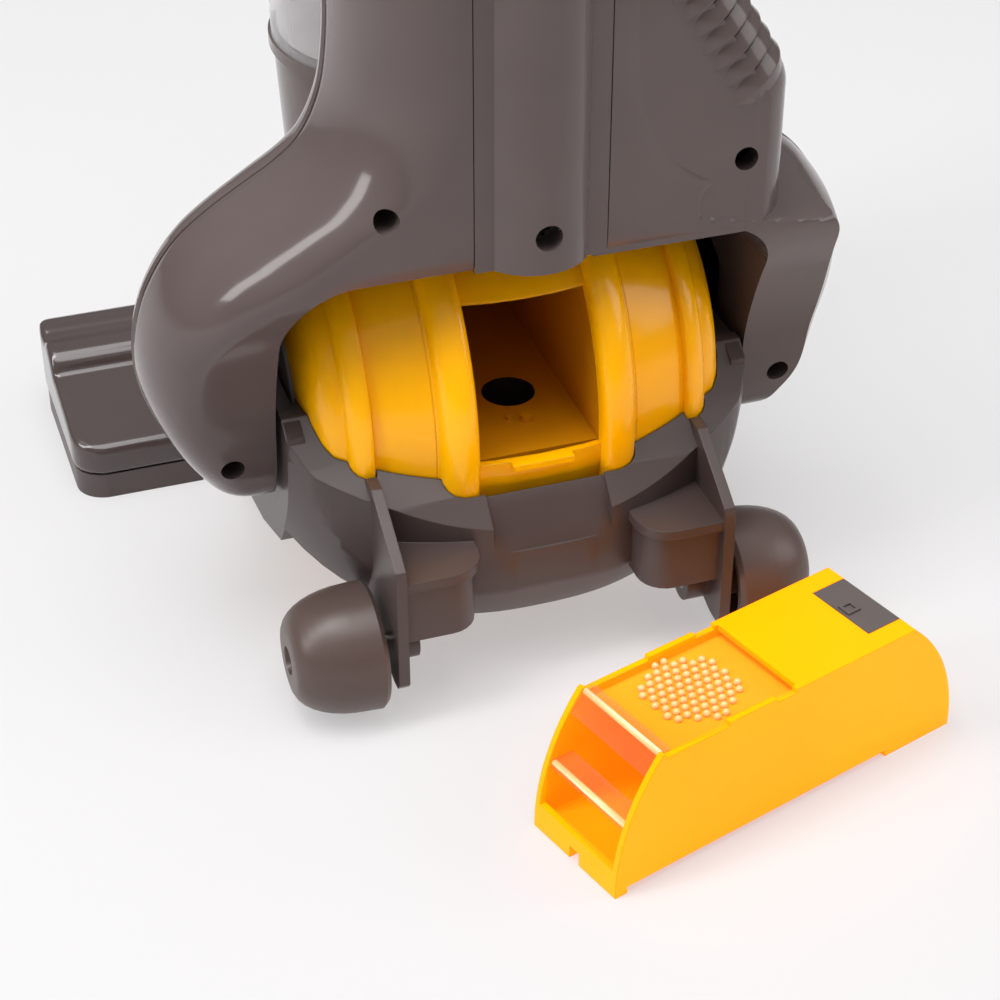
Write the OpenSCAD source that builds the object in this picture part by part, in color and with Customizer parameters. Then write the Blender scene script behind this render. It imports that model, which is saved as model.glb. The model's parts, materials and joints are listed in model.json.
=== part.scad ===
// Toy upright vacuum cleaner. A yellow drum sits in a wheeled stand, a grey
// body leans back about the drum, and the dust drawer from the drum lies beside it.
// Millimetres, +Z up, floor at z = 0, back of the toy towards +Y.

/* [Node] */
// Sub-part to build

/* [Drum] */
// Height of the drum axis above the floor
axis_z = 67; // [67:0.5:70]
// Radius over the two ribs beside the slot
rib_r = 65; // [63:0.5:65]
// Barrel radius at the middle
barrel_mid_r = 62.5; // [60:0.5:63]
// Barrel radius where its round shoulders start
barrel_end_r = 50.5; // [49:0.1:51]
// Radius of the end caps in the drum's ends
cap_r = 32; // [28:0.1:34]
// Wall of the drum
drum_wall = 2.2; // [1.8:0.1:3]
// Half width of an inner rib
rib_half = 5.3; // [4:0.1:5.5]
// Half width of an outer rib
outer_rib_half = 3.6; // [3:0.1:4]
// Height of an outer rib
outer_rib_h = 3.2; // [2:0.1:3.5]

/* [Slot and drawer] */
// Inside width of the drawer slot
slot_w = 36; // [34:0.2:37]
// Slot floor, above the drum axis
slot_floor = -1.5; // [-3:0.1:0]
// Inside height of the slot
slot_h = 42.5; // [42:0.1:45]
// Wall of the slot sleeve
sleeve_wall = 1.6; // [1.2:0.1:2]
// Radius of the suction inlet in the slot floor
inlet_r = 7.8; // [6:0.1:9]
// Place of the suction inlet behind the drum axis
inlet_y = 27; // [22:0.5:32]
// Play of the drawer in its slot, each side
drawer_play = 0.6; // [0.3:0.1:0.8]
// Height of the drawer
drawer_h = 41.5; // [40:0.5:41.5]
// Wall of the drawer
drawer_wall = 1.8; // [1.4:0.1:2.2]
// Radius of the drawer's inner end, about the drum axis
drawer_in_r = 54; // [52:0.5:55]
// Where the drawer lies: its clear end, to the side
drawer_x = 22.3; // [15:0.1:30]
// Where the drawer lies: its clear end, to the back
drawer_y = 152.8; // [150:0.1:170]
// Turn of the drawer on the floor, in degrees
drawer_turn = 197.4; // [190:0.1:202]
// Length of the filter window in the drawer's top
window_len = 46; // [42:0.5:48]
// Pitch of the filter studs
stud_pitch = 3; // [2.6:0.1:3.6]

/* [Stand] */
// Greatest radius of the cradle, about the drum axis
cradle_r = 82; // [80:0.5:84]
// Where the cradle's upright wall stands, behind the drum axis
cradle_wall_y = 73.8; // [73:0.1:76]
// Plan radius of the upright wall
cradle_wall_r = 110; // [105:1:115]
// Thickness of the stand's side plates
side_plate = 5; // [4:0.1:6]
// Lowest angle of the cradle about the drum axis
cradle_low_deg = -40; // [-42:1:-36]
// Gap between drum and cradle
drum_gap = 0.6; // [0.4:0.1:0.9]
// Thickness of a wheel fin
fin_t = 3.2; // [2.6:0.1:4]

/* [Wheels] */
// Wheel radius
wheel_r = 18.5; // [17:0.5:19]
// Wheel width
wheel_w = 25; // [22:0.5:28]
// Wheel axle behind the drum axis
wheel_y = 70; // [68:0.5:72]
// Radius of a wheel axle
axle_r = 2.5; // [2:0.1:3]
// Running clearance on axles and pivots
run_gap = 0.3; // [0.3:0.05:0.5]

/* [Body] */
// Half width of the opening over the drum
arch_half = 70; // [66:0.5:72]
// Corner radius of the opening
arch_corner = 20; // [12:0.5:24]
// Top of the opening, above the drum axis
arch_top = 60; // [59:0.5:64]
// Where the two body shells meet, behind the drum axis
seam_y = 20; // [18:0.5:22]
// Wall of the body shells
shell_wall = 2.4; // [2:0.1:3]
// Rear face of the torso, behind the drum axis
back_y = 60; // [58:0.5:62]
// Top of the torso, above the drum axis
torso_top = 200; // [180:1:220]
// Radius of the pivot pins
pivot_r = 6; // [5:0.1:7]
// Half width of the spine cover
spine_half = 18.5; // [17:0.1:20]
// Half width of the spine's raised tube
spine_tube_half = 13.5; // [12:0.1:14]
// Radius of a screw well
well_r = 3.4; // [2.8:0.1:3.8]
// Radius of the moulded hose
hose_r = 12.5; // [11:0.1:13.5]
// Number of ribs on the moulded hose
hose_ribs = 9; // [6:1:10]

/* [Bin and handle] */
// Outer radius of the dust bin
bin_r = 41.8; // [40:0.1:43]
// Bin axis, in front of the drum axis
bin_y = -58; // [-60:0.5:-56]
// Lower edge of the clear bin, above the drum axis
bin_low = 78; // [74:0.5:82]
// Height of the clear bin
bin_h = 137; // [120:1:150]
// Wall of the clear bin
bin_wall = 1.8; // [1.4:0.1:2.4]
// Radius of the handle post
post_r = 11; // [9:0.1:12]
// Height of the whole toy
toy_h = 690; // [640:1:720]
// Radius of the grip bar
grip_r = 9.5; // [8:0.1:10.5]
// Bend radius of the grip loop
loop_r = 25; // [22:0.5:28]
// Height of the grip loop
grip_h = 130; // [115:1:140]

/* [Floor head] */
// Half width of the head
head_half = 115; // [105:1:125]
// Front edge of the head
head_front = -126; // [-132:1:-122]
// Rear edge of the head
head_rear = -51; // [-53:0.5:-49]
// Height of the head at its front ridge
head_h = 32; // [30:0.5:34]
// Height of the sole
sole_h = 9; // [8:0.5:10]
// Pitch axis of the head: in front of the drum axis
neck_y = -80; // [-82:0.5:-78]
// Pitch axis of the head: above the floor
neck_z = 20; // [18:0.5:22]

/* [Hidden] */
$fn = 72;
stand_half = arch_half - 1.5;
cradle_close = stand_half + 10.3;
drum_half = stand_half - 6.5;
shoulder_x = drum_half - 8;
outer_rib_x = shoulder_x - 4.6;
fin_x = shoulder_x - 4.3;
slot_half = slot_w/2;
drawer_w = slot_w - 2*drawer_play;
drawer_out_r = rib_r;
drawer_len = drawer_in_r + drawer_out_r;
inner_rib_x = slot_half + rib_half;
drum_seam_x = inner_rib_x + rib_half + 0.8;
sleeve_r = barrel_r(slot_half + sleeve_wall) - drum_wall - 0.3;
pin_end = arch_half + 12;
post_y = 42;
arm_lean = 0.53;
drum_room = 1.5;
post_top = toy_h - axis_z - grip_h;
rocker_z = 178.5;
rocker_r = 6.5;
bin_ring_r = bin_r + 0.8;
head_arc_r = 17;
neck_half = 21;
yellow = "#f2a600";
drawer_yellow = "#ffb20a";
orange = "#ff8412";
grey = "#776b67";
dark = "#5a4d4b";
silver = "#a9a6a5";
clear = [0.86, 0.86, 0.86, 0.35];
amber_clear = [1, 0.78, 0.55, 0.5];

// Barrel radius of the drum at a place along its axis.
function barrel_r(x) = abs(x) <= shoulder_x ? barrel_mid_r - (barrel_mid_r - barrel_end_r)*pow(x/shoulder_x, 2)
    : cap_r + (barrel_end_r - cap_r)*sqrt(max(0, 1 - pow((abs(x) - shoulder_x)/(drum_half - shoulder_x), 2)));

// Rounded rib: height h in the middle, falling to nothing at its two edges.
function rib(x, c, half, h) = let (u = abs(abs(x) - c)/half) u < 1 ? h*sqrt(1 - pow(u, 3)) : 0;

// Outside of the drum, with its four ribs.
function drum_r(x) = barrel_r(x)
    + rib(x, inner_rib_x, rib_half, rib_r - barrel_r(inner_rib_x))
    + rib(x, outer_rib_x, outer_rib_half, outer_rib_h);

// Places along one half of the drum where its profile is drawn, close together on the ribs.
rib_steps = [-1, -0.95, -0.8, -0.5, 0, 0.5, 0.8, 0.95, 1];
drum_xs = concat([0, slot_half/2],
    [for (s = rib_steps) inner_rib_x + s*rib_half],
    [for (k = [1:3]) let (a = inner_rib_x + rib_half, b = outer_rib_x - outer_rib_half) a + (b - a)*k/4],
    [for (s = rib_steps) outer_rib_x + s*outer_rib_half],
    [shoulder_x], [for (k = [2:2:10]) shoulder_x + (drum_half - shoulder_x)*sin(9*k)]);
last_x = len(drum_xs) - 1;
drum_line = concat([for (i = [last_x:-1:1]) [drum_r(drum_xs[i]), -drum_xs[i]]],
    [for (x = drum_xs) [drum_r(x), x]]);

// Inside of the drum, from its end to its middle.
bore_line = [[cap_r, drum_half - drum_wall], for (k = [4:-1:0]) let (x = (shoulder_x - 1)*k/4) [barrel_r(x) - drum_wall, x]];

// Outside of the cradle: a barrel that closes towards the sides.
function cradle_out(x) = cradle_r*sqrt(1 - pow(abs(x)/cradle_close, 2.56));

// Half width of the body at a height above the drum axis: round arms, waist, straight torso.
function body_half(z) = lookup(z, [[-22, 80], [-12, 89.5], [-3, 95], [8, 100.3], [20, 103.8], [32, 103.2], [44, 99.6],
    [54, 94], [62, 89.6], [66, 83.5], [70, 75.5], [78, 62.2], [86, 55], [95, 50.6], [105, 47.6], [123, 46]])*crown(z);

// Rounded shoulder at the top of the torso.
function crown(z) = z > torso_top - 18 ? sqrt(1 - pow((z - torso_top + 18)/24, 2)) : 1;

// Rear face of the body at a height: the arms lean forward from the torso to the pivot.
function body_back(z) = z > 58 ? back_y : z > -4 ? back_y - arm_lean*(58 - z)
    : seam_y + (back_y - arm_lean*62 - seam_y)*sqrt(max(0, 1 - pow((z + 4)/18.5, 2)));

// How far the sides would run on past the flat rear face: far on the shoulders, hardly on the torso.
function body_fill(z) = lookup(z, [[-4, 1.3], [20, 1.45], [40, 2.1], [56, 2.6], [62, 2.4], [86, 1.02]]);
function body_power(z) = lookup(z, [[56, 2.3], [90, 2.8]]);
function front_depth(z) = lookup(z, [[40, 34], [75, 26]])*crown(z);

// One section of the rear shell: curved sides, rounded into the flat rear face by soft.
side_steps = 7;
soft = 5;
function rear_side(half, depth, fill, power) = let (stop = asin(pow(1/fill, power/2)), r = min(soft, depth*0.4),
    edge = half*pow(cos(stop), 2/power), full = depth*fill)
    concat([for (k = [0:side_steps - 1]) let (t = stop*k/side_steps, y = full*pow(sin(t), 2/power)*(depth - r)/depth)
        [half*pow(1 - pow(y/full, power), 1/power), y]],
        [let (y = depth - r*0.29) [half*pow(1 - pow(y/full, power), 1/power) - r*0.29, y], [max(1, edge - r), depth]]);
function rear_ring(z, half, depth, fill, power) = let (side = rear_side(half, depth, fill, power))
    concat([for (q = side) [q[0], seam_y + q[1], z]], [for (i = [len(side) - 1:-1:0]) [-side[i][0], seam_y + side[i][1], z]]);

// One section of the front shell: half an ellipse.
front_steps = 16;
function front_ring(z, half, depth) = [for (k = [0:front_steps]) let (t = 180*k/front_steps) [-half*cos(t), seam_y - depth*sin(t), z]];

// Height of a section of a shell shrunk by g, kept apart from its neighbours.
function inset(z, low, g) = low + g + (z - low)*(torso_top - low - 2*g)/(torso_top - low);

rear_zs = [-22, -20.5, -17, -11, -4, 6, 16, 26, 36, 46, 54, 62, 68, 74, 80, 87, 95, 106, 120, torso_top - 18, torso_top - 9, torso_top - 3, torso_top];
front_zs = [-22, -20.5, -17, -11, -4, 6, 24, 40, 52, 62, 70, 78, 88, 103, 120, torso_top - 18, torso_top - 9, torso_top - 3, torso_top];

// Solid through a stack of equal rings.
module loft(rings) {
    n = len(rings[0]);
    m = len(rings);
    polyhedron(points = [for (r = rings) each r],
        faces = concat([[for (k = [0:n - 1]) k]],
            [[for (k = [n - 1:-1:0]) (m - 1)*n + k]],
            [for (j = [0:m - 2], k = [0:n - 1], h = [0, 1]) let (a = j*n + k, b = j*n + (k + 1)%n)
                h == 0 ? [a, a + n, b] : [b, a + n, b + n]]),
        convexity = 6);
}

// Moves children from the drum axis to the floor frame.
module at_axis() translate([0, 0, axis_z]) children();

// Turns a profile of (radius, place along the axis) about the drum axis, angles from +Y towards +Z.
module about_x(a0 = 0, turn = 360) rotate([90, 0, 90]) rotate([0, 0, a0]) rotate_extrude(angle = turn, $fn = 96) children();

// Cylinder along X from x0 to x1.
module rod_x(r, x0, x1) translate([x0, 0, 0]) rotate([0, 90, 0]) cylinder(r = r, h = x1 - x0);

// Plate in the YZ plane from x0 to x1.
module slab_x(x0, x1) translate([x0, 0, 0]) rotate([90, 0, 90]) linear_extrude(x1 - x0) children();

// Both sides of the toy.
module both() { children(); mirror([1, 0, 0]) children(); }

// Opening over the drum as seen from the back, grown by g.
module arch(g = 0) {
    r = arch_corner + g;
    w = arch_half + g;
    translate([0, arch_top + g - r]) hull() for (s = [-1, 1]) translate([s*(w - r), 0]) circle(r);
    translate([-w, -90]) square([2*w, 90 + arch_top + g - r]);
}

module arch_cut(g = 0) {
    translate([0, 150, 0]) rotate([90, 0, 0]) linear_extrude(300) arch(g);
    rod_x(rib_r + drum_room + g, -drum_half - 2 - g, drum_half + 2 + g);
}

module stand_cradle() color(dark) {
    xs = [for (k = [-16:16]) stand_half*k/16];
    inside = [for (x = drum_xs) [max(drum_r(x), x < inner_rib_x ? rib_r : x < outer_rib_x && x > outer_rib_x - outer_rib_half ? drum_r(outer_rib_x) : 0) + drum_gap, x]];
    end_r = cradle_out(stand_half) - 7;
    wall = 3;
    hollow_x = shoulder_x - 4;
    hollow_xs = [for (k = [-6:6]) hollow_x*k/6];
    lip = [[-60, 70], [-60, 11.3], [40, 11.3], [52, 1], [64.5, -8], [84, -27.5], [110, -27.5], [110, 70]];
    notch = [[55, 2], [60, -4.2], [67.5, -12.2], [73, -24], [90, -24], [90, 2]];
    at_axis() {
        difference() {
            intersection() {
                about_x(cradle_low_deg, 70) polygon(concat([for (x = xs) [cradle_out(x), x]],
                    [[end_r, stand_half], [end_r, stand_half - side_plate + 1.2]],
                    [for (i = [last_x:-1:0]) inside[i]],
                    [for (i = [1:last_x]) [inside[i][0], -inside[i][1]]],
                    [[end_r, -stand_half + side_plate - 1.2], [end_r, -stand_half]]));
                translate([0, cradle_wall_y - cradle_wall_r, -80]) cylinder(r = cradle_wall_r, h = 120, $fn = 144);
            }
            about_x(cradle_low_deg - 1, 14) polygon(concat([for (x = hollow_xs) [cradle_out(x) - wall, x]],
                [[rib_r + drum_gap + wall - 5, hollow_x], [rib_r + drum_gap + wall, inner_rib_x + 2*rib_half],
                [rib_r + drum_gap + wall, -inner_rib_x - 2*rib_half], [rib_r + drum_gap + wall - 5, -hollow_x]]));
            slab_x(-80, 80) polygon(lip);
            slab_x(-slot_half + 0.5, slot_half - 0.5) polygon(notch);
        }
        both() difference() {
            union() {
                slab_x(stand_half - side_plate, stand_half - 0.5) polygon([[-30, 10.6], [41, 10.6], [46, 8], [45, -8],
                    [40, -22], [28, -38], [5, -46], [-70, -56], [-86, -56], [-86, -38], [-60, -30]]);
                wheel_fin();
            }
            rod_x(pivot_r, stand_half - side_plate - 1, stand_half + 1);
            translate([0, wheel_y, wheel_r - axis_z]) rod_x(axle_r, fin_x - fin_t - 20, fin_x + 1);
        }
    }
    neck_beam();
}

// Fin that carries a wheel, with its shelf and web on the inner side.
module wheel_fin() {
    inner = fin_x - fin_t;
    clear_r = drum_r(outer_rib_x) + drum_gap + 0.8;
    slab_x(inner, fin_x) polygon([[sqrt(pow(clear_r, 2) - pow(20, 2)), -20], [clear_r, -1.5], [63, -1.5], [80, -12], [84.5, -15], [85.7, -18],
        [85.7, -53], [84, -55], [80, -55], [wheel_y - 8, -50], [46, -36]]);
    difference() {
        union() {
            translate([0, 0, -22]) linear_extrude(3) gusset_plan(0);
            translate([0, 0, -40]) linear_extrude(20) gusset_plan(1.6);
        }
        about_x() polygon([[0, -60], [rib_r + drum_gap, -60], [rib_r + drum_gap, 60], [0, 60]]);
    }
    translate([0, wheel_y, wheel_r - axis_z]) rod_x(6, inner - 6, inner + 1);
}

// Plan of a wheel fin's inner gusset, drawn in by g.
module gusset_plan(g) {
    r = 10;
    polygon([[fin_x - fin_t + 1, 48], [fin_x - fin_t + 1, 85 - g], [23 + r, 85 - g],
        for (a = [15:15:75]) [23 + r - (r - g)*sin(a), 85 - r + (r - g)*cos(a)], [23 + g, 85 - r], [23 + g, 48]]);
}

// Cross beam in front of the drum, with the lugs of the head's pivot.
module neck_beam() {
    slab_x(-stand_half + 1, stand_half - 1) polygon([[neck_y + 6.5, 12], [neck_y + 12.5, 12], [neck_y + 12.5, 28], [neck_y + 6.5, 28]]);
    difference() {
        for (x0 = [-30, 22]) hull() {
            translate([0, neck_y, neck_z]) rod_x(6, x0, x0 + 8);
            slab_x(x0, x0 + 8) polygon([[neck_y + 6.5, 12], [neck_y + 9, 12], [neck_y + 9, 28], [neck_y + 6.5, 28]]);
        }
        translate([0, neck_y, neck_z]) rod_x(2.5, -40, 40);
    }
}

module neck_pin() color(silver) translate([0, neck_y, neck_z]) rod_x(2.5, -31, 31);

// Part of the drum's barrel from x = a to x = b.
module barrel(a, b) intersection() {
    about_x() polygon(concat(drum_line, bore_line, [for (i = [len(bore_line) - 1:-1:0]) [bore_line[i][0], -bore_line[i][1]]]));
    translate([a, -rib_r - 10, -rib_r - 10]) cube([b - a, 2*rib_r + 20, 2*rib_r + 20]);
}

module drum_shell() color(yellow) at_axis() difference() {
    union() {
        barrel(-drum_seam_x, drum_seam_x);
        translate([-9, rib_r - 4, slot_floor - 2]) cube([18, 7, 2]);
    }
    translate([-slot_half, 20, slot_floor]) cube([slot_w, 60, slot_h]);
}

// End piece of the drum, outside the two ribs beside the slot.
module drum_side(s) color(yellow) at_axis() mirror([s < 0 ? 1 : 0, 0, 0]) barrel(drum_seam_x, drum_half + 2);

module drum_side_l() drum_side(1);
module drum_side_r() drum_side(-1);

// End cap of the drum: stepped rings around the pivot.
module drum_cap(s) color(silver) at_axis() mirror([s < 0 ? 1 : 0, 0, 0]) about_x() polygon([
    [pivot_r, drum_half - 5], [cap_r - 0.2, drum_half - 5], [cap_r - 0.2, drum_half], [cap_r - 1, drum_half + 0.8],
    [24, drum_half + 1.1], [22.5, drum_half + 0.4], [pivot_r, drum_half + 0.4]]);

module drum_cap_l() drum_cap(1);
module drum_cap_r() drum_cap(-1);

module slot_sleeve() color("#b87a14") at_axis() {
    top = slot_floor + slot_h;
    intersection() {
        difference() {
            translate([-slot_half - sleeve_wall, -70, slot_floor - sleeve_wall]) cube([slot_w + 2*sleeve_wall, 140, slot_h + 2*sleeve_wall]);
            translate([-slot_half, -drawer_in_r - 1, slot_floor]) cube([slot_w, 150, slot_h]);
            translate([-2, inlet_y, -30]) cylinder(r = inlet_r, h = 60);
        }
        rod_x(sleeve_r, -30, 30);
    }
    translate([-2, 43, slot_floor - 0.5]) cylinder(r = 1.6, h = 2.4);
    translate([2.4, 41, slot_floor - 0.5]) cylinder(r = 1, h = 2);
    translate([-2, inlet_y, -30]) difference() {
        cylinder(r = inlet_r + 1.6, h = 30 + slot_floor - sleeve_wall + 0.3);
        translate([0, 0, -1]) cylinder(r = inlet_r, h = 60);
    }
}

// Moves children to the fan's axis, with x = 0 on the sleeve's side wall and x growing outwards.
module at_fan() at_axis() translate([-slot_half - sleeve_wall, -8, 4]) mirror([1, 0, 0]) children();
fan_room = drum_half - 5.5 - slot_half - sleeve_wall;
cowl_len = 18*fan_room/36.9;
spindle_r = 1.5;

module suction_motor() color(silver) at_fan() {
    rod_x(13, cowl_len, fan_room);
    rod_x(3.5, cowl_len - 2, cowl_len + 1);
    rod_x(spindle_r, 2, cowl_len);
}

module fan() color("#3c3837") at_fan() difference() {
    union() {
        rod_x(4.5, 3, cowl_len - 4);
        rod_x(22, cowl_len - 6, cowl_len - 4.4);
        for (k = [0:8]) rotate([40*k, 0, 0]) translate([4, -0.7, 3.6]) rotate([8, 0, 0]) cube([cowl_len - 9, 1.4, 17]);
    }
    rod_x(spindle_r + run_gap, 0, 20);
}

module fan_cowl() color(dark) at_fan() difference() {
    rod_x(27, 0, cowl_len);
    rod_x(24.5, -1, cowl_len - 2);
    rod_x(3.5, 0, cowl_len + 1);
    for (k = [0:5]) rotate([60*k, 0, 0]) translate([cowl_len - 4, -2, 15]) cube([6, 4, 7]);
}

module pivot_pin(s) color(silver) at_axis() mirror([s < 0 ? 1 : 0, 0, 0]) rod_x(pivot_r, drum_half - 5, pin_end);
module pivot_pin_l() pivot_pin(1);
module pivot_pin_r() pivot_pin(-1);

module axle(s) color(silver) mirror([s < 0 ? 1 : 0, 0, 0]) translate([0, wheel_y, wheel_r]) rod_x(axle_r, fin_x - fin_t - 6, fin_x + 1.6 + wheel_w - 8);
module axle_l() axle(1);
module axle_r() axle(-1);

// Domed wheel, open behind, with a dimple in its outer end.
module wheel(s) color("#5b4a47") mirror([s < 0 ? 1 : 0, 0, 0]) translate([fin_x + 2.6, wheel_y, wheel_r])
    rotate([90, 0, 90]) rotate_extrude($fn = 96) {
        difference() {
            polygon(concat([[0, 0], [wheel_r - 1.2, 0], [wheel_r, 1.4], [wheel_r - 0.2, 6]],
                [for (a = [10:10:80]) [wheel_r - 10 + 9.8*cos(a)*1, 6 + (wheel_w - 6)*sin(a)]],
                [[8, wheel_w], [4.2, wheel_w], [3.6, wheel_w - 2], [0, wheel_w - 2.4]]));
            translate([-1, -1]) square([1 + axle_r + run_gap, wheel_w - 6]);
            translate([7, -1]) square([wheel_r - 10.2, 10]);
        }
    }
module wheel_l() wheel(1);
module wheel_r() wheel(-1);

// Solid of the rear shell, shrunk by g and let out through the seam.
module rear_solid(g) translate([0, g > 0 ? -0.5 : 0, 0]) loft([for (z = rear_zs)
    rear_ring(inset(z, rear_zs[0], g), body_half(z) - g, max(0.6, body_back(z) - seam_y - g), body_fill(z), body_power(z))]);

// Solid of the front shell, shrunk by g and let out through the seam, with round hubs over the pivots.
module front_solid(g) {
    translate([0, g > 0 ? 0.5 : 0, 0]) loft([for (z = front_zs)
        front_ring(inset(z, front_zs[0], g), body_half(z) + 0.4 - g, front_depth(z) - g)]);
    intersection() {
        both() about_x() polygon([[0, arch_half - 6], [33 - g, arch_half - 6], [32 - g, arch_half], [28 - g, arch_half + 3.5 - g*0.5],
            [23 - g, arch_half + 8 - g*0.6], [18 - g, arch_half + 11 - g*0.8], [12 - g, arch_half + 13.5 - g], [0, arch_half + 14.5 - g]]);
        translate([-200, seam_y - 200 + (g > 0 ? 0.5 : 0), -200]) cube([400, 200, 400]);
    }
}

low_well = [(arch_half + 95)/2, 21.8, -3.9];
left_well = [42, 30, 78];
hose_x = -60;
hose_y = 47;
hose_lean = 32;
hose_len = 92;
hose_bend = 97;
hose_well = [hose_x + 2, hose_y + 6, 80];
spine_well = [0, back_y - 1, 69.6];

// Hole or boss of radius r along +Y from a screw's seat.
module well(seat, r, back = 0) translate([seat[0], seat[1] - back, seat[2]]) rotate([-90, 0, 0]) cylinder(r = r, h = 60);

module rear_shell() color(grey) at_axis() difference() {
    union() {
        difference() { rear_solid(0); rear_solid(shell_wall); }
        intersection() {
            rear_solid(0);
            union() {
                arch_cut(shell_wall);
                both() well(low_well, well_r + 2, 5);
                well(left_well, well_r + 2, 5);
            }
        }
    }
    arch_cut(0);
    both() well(low_well, well_r);
    well(left_well, well_r);
    translate([-spine_half - 0.3, back_y - 5, arch_top - 6]) cube([2*spine_half + 0.6, 30, torso_top]);
    translate([0, post_y, torso_top - 20]) cylinder(r = post_r, h = 40);
    hose_seat(0.4);
}

// Room for the moulded hose in the rear shell, grown by g.
module hose_seat(g) {
    translate([hose_x, hose_y, arch_top + 1 - g]) cylinder(r = hose_r + g, h = hose_bend - arch_top - 1 + g);
    hose_axis() translate([0, 0, -2]) cylinder(r = hose_r + 1.2 + g, h = hose_len + 4);
}
module hose_axis() translate([hose_x, hose_y, hose_bend]) rotate([0, hose_lean, 0]) children();

module ribbed_hose() color(grey) at_axis() difference() {
    union() {
        translate([hose_x, hose_y, arch_top + 1]) cylinder(r = hose_r, h = hose_bend - arch_top - 1);
        translate([hose_x, hose_y, hose_bend]) sphere(hose_r);
        hose_axis() rotate_extrude($fn = 64) polygon(concat([[4, 0]],
            [for (k = [0:hose_ribs*4]) let (p = (1 - cos(90*k))/2) [hose_r - 1 + 2*p, hose_len*k/(hose_ribs*4)]], [[4, hose_len]]));
    }
    well(hose_well, well_r);
    translate([-spine_half - 0.4, back_y - 5.4, arch_top]) cube([2*spine_half, 30, torso_top]);
    hose_axis() translate([0, 0, 10]) cylinder(r = hose_r - 2.5, h = hose_len);
    translate([0, post_y, arch_top]) cylinder(r = post_r + 0.5, h = torso_top);
}

module front_shell() color(grey) at_axis() difference() {
    union() {
        difference() {
            union() {
                front_solid(0);
                translate([-24, bin_y + 20, arch_top + shell_wall]) cube([48, 26 - bin_y - 20, torso_top - arch_top - 30]);
            }
            front_solid(shell_wall);
        }
        intersection() {
            front_solid(0);
            union() {
                arch_cut(shell_wall);
                both() rod_x(pivot_r + 4, arch_half, pin_end);
            }
        }
    }
    arch_cut(0);
    both() rod_x(pivot_r + run_gap, arch_half - 5, pin_end);
    translate([0, bin_y, 0]) cylinder(r = bin_ring_r, h = 400);
    translate([-60, seam_y, 0]) cube([120, 40, 300]);
}

module spine_cover() color(grey) at_axis() difference() {
    union() {
        translate([-spine_half, back_y - 4.6, arch_top - 1]) cube([2*spine_half, 4.6, torso_top - arch_top + 1]);
        intersection() {
            translate([0, back_y - 10, arch_top - 1]) cylinder(r = spine_tube_half + 3, h = torso_top - arch_top + 1);
            translate([-spine_half, back_y - 2, 0]) cube([2*spine_half, 30, 400]);
        }
    }
    well(spine_well, well_r + 0.4);
    intersection() {
        translate([0, back_y - 10, spine_well[2] + 9]) cylinder(r = spine_tube_half + 3 - shell_wall, h = rocker_z - spine_well[2] - 22);
        translate([-10, back_y - 20, 0]) cube([20, 40, 300]);
    }
    translate([0, back_y, rocker_z]) rod_x(1.2 + run_gap, -9.4, 9.4);
    about_x() polygon([[0, -30], [rib_r + 1, -30], [rib_r + 1, 30], [0, 30]]);
    translate([-6.5, back_y - 20, rocker_z - rocker_r - 1.5]) cube([13, 60, 2*rocker_r + 3]);
}

module shell_screws() color("#2c2827") at_axis() for (seat = [low_well, [-low_well[0], low_well[1], low_well[2]], left_well, hose_well, spine_well])
    translate(seat) rotate([-90, 0, 0]) cylinder(r = well_r - 0.3, h = 1.8);

module dust_bin() color(clear) at_axis() translate([0, bin_y, bin_low]) difference() {
    cylinder(r = bin_r, h = bin_h, $fn = 96);
    translate([0, 0, 2]) cylinder(r = bin_r - bin_wall, h = bin_h, $fn = 96);
}

module bin_base() color(grey) at_axis() difference() {
    translate([0, bin_y, 0]) rotate_extrude($fn = 96) bin_foot(0);
    about_x() polygon([[0, -70], [rib_r + 2.5, -70], [rib_r + 2.5, 70], [0, 70]]);
    difference() {
        translate([0, bin_y, 0]) rotate_extrude($fn = 96) bin_foot(shell_wall);
        about_x() polygon([[0, -70], [rib_r + 2.5 + shell_wall, -70], [rib_r + 2.5 + shell_wall, 70], [0, 70]]);
    }
}

// Half section of the bin's base, drawn in by g.
module bin_foot(g) polygon([[0, 22 + g], [34 - g, 22 + g], [38.6 - g, 28 + g/2], [bin_r - 0.6 - g, bin_low - 4], [bin_ring_r - g, bin_low - 3.4],
    [bin_ring_r - g, bin_low - g], [0, bin_low - g]]);

module cyclone_core() color("#c9821a") at_axis() translate([0, bin_y, bin_low + 2]) rotate_extrude($fn = 64) {
    outer = [[13, 0], [13, 3], [8, 10], [8, 40], [22, 62], [26, 66], [26, 104], [30, 110], [30, bin_h - 2]];
    polygon(concat(outer, [for (i = [len(outer) - 1:-1:0]) [outer[i][0] - 1.8, outer[i][1]]]));
}

module bin_lid() color(grey) at_axis() translate([0, bin_y, bin_low + bin_h]) difference() {
    rotate_extrude($fn = 96) polygon(concat([[0, 0], [bin_ring_r, 0], [bin_ring_r, 8]],
        [for (a = [15:15:90]) [bin_ring_r/2*(1 + cos(a)), 8 + 12*sin(a)]], [[0, 20]]));
    translate([-9, -28, 12]) cube([18, 56, 20]);
}

module handle_post() color(silver) at_axis() translate([0, post_y, torso_top - 40]) difference() {
    cylinder(r = post_r, h = post_top - torso_top + 40);
    translate([0, 0, 4]) cylinder(r = post_r - 1.6, h = post_top);
}

module grip_cuff() color(dark) at_axis() translate([0, post_y, torso_top]) rotate_extrude($fn = 64)
    polygon([[post_r, 0], [24, 0], [24, 6], [16, 22], [14, 26], [post_r, 26]]);

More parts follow.
